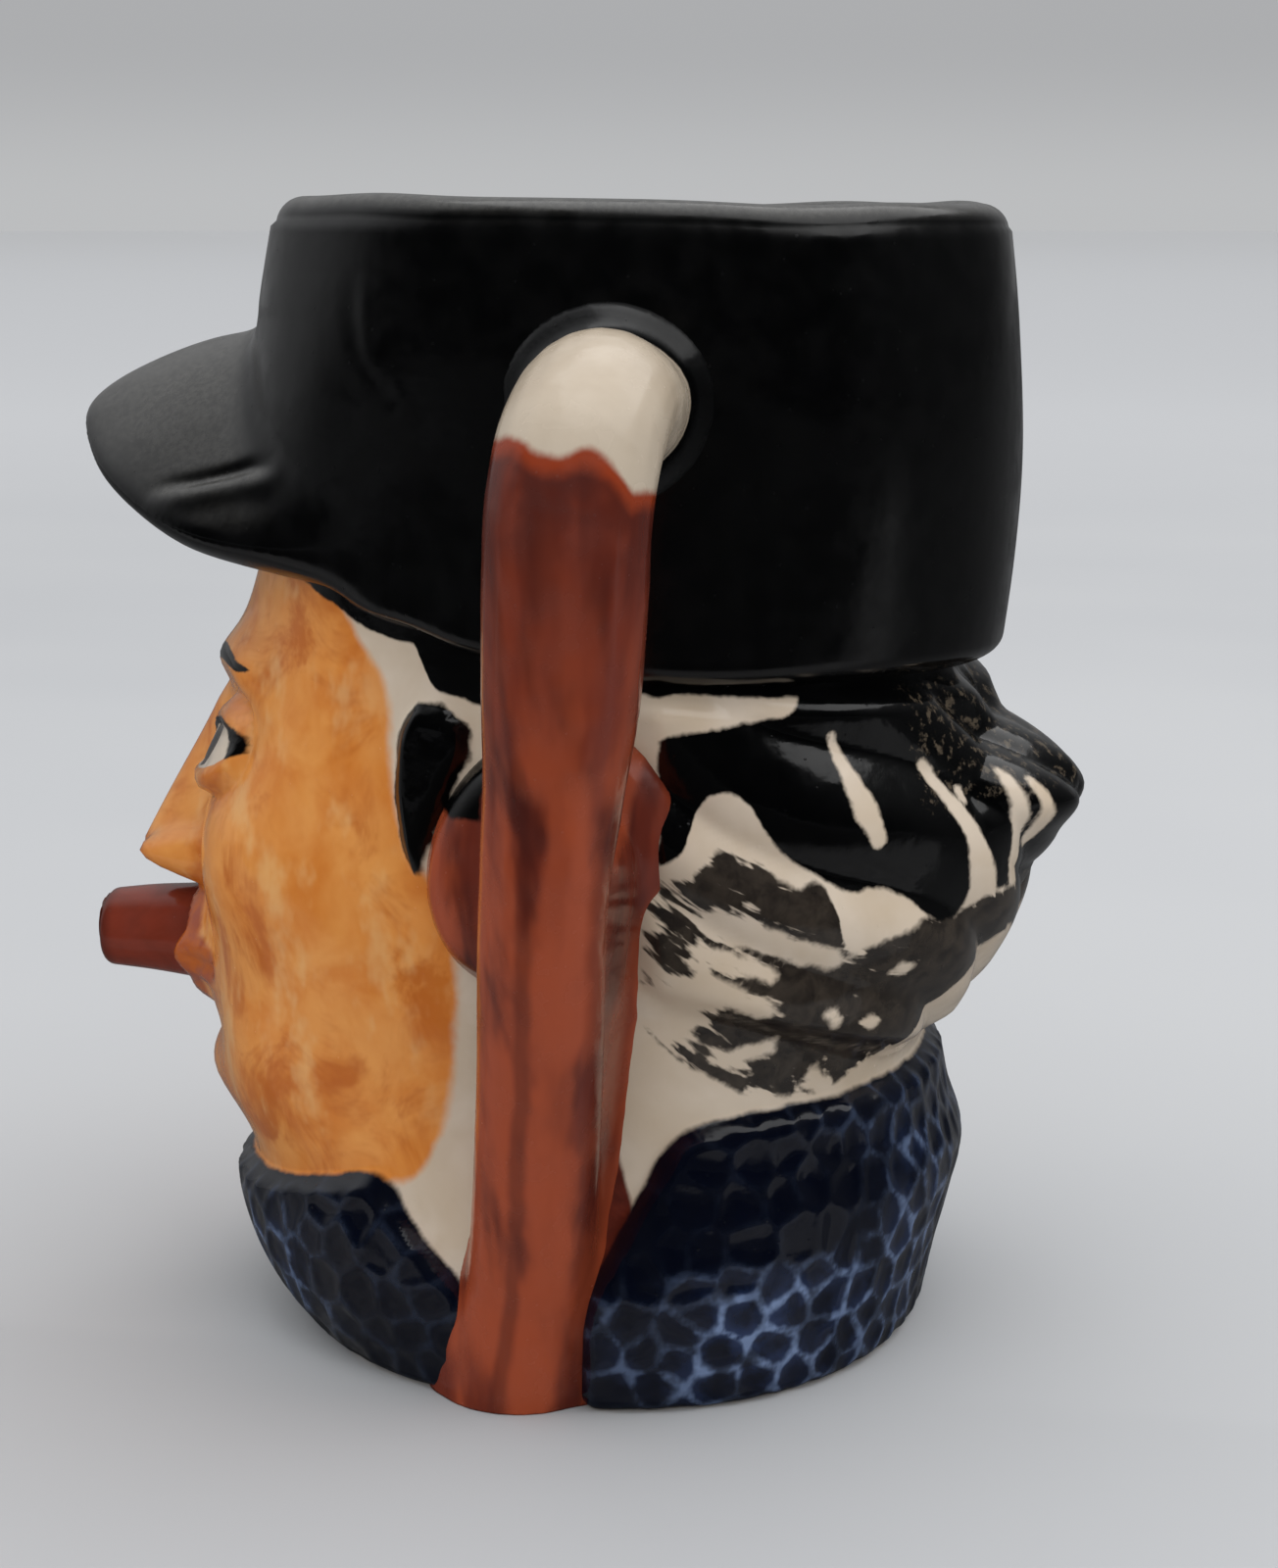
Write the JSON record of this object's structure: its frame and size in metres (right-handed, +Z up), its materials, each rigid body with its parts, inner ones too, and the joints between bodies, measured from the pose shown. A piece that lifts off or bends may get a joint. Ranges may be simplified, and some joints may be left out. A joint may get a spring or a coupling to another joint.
{
  "type": "character jug",
  "caption": "Small glazed earthenware jug in the form of a man's head in a peaked cap and neckerchief, with a walking stick as its handle.",
  "frame": {"origin": "centre of the flat underside, on the bowl's upright axis, at table height", "axes": "+Z up out of the bowl's mouth; the face and the cap's peak look along -Y; the handle stands out along +X"},
  "size_m": [0.0656, 0.0659, 0.072],
  "materials": {
    "glazed_earthenware": "hand-painted under a clear gloss glaze: black cap, orange-tan face, black and grey hair over cream, navy neckerchief, red-brown stick"
  },
  "bodies": {
    "root": {"jug": "glazed_earthenware"}
  },
  "joints": []
}
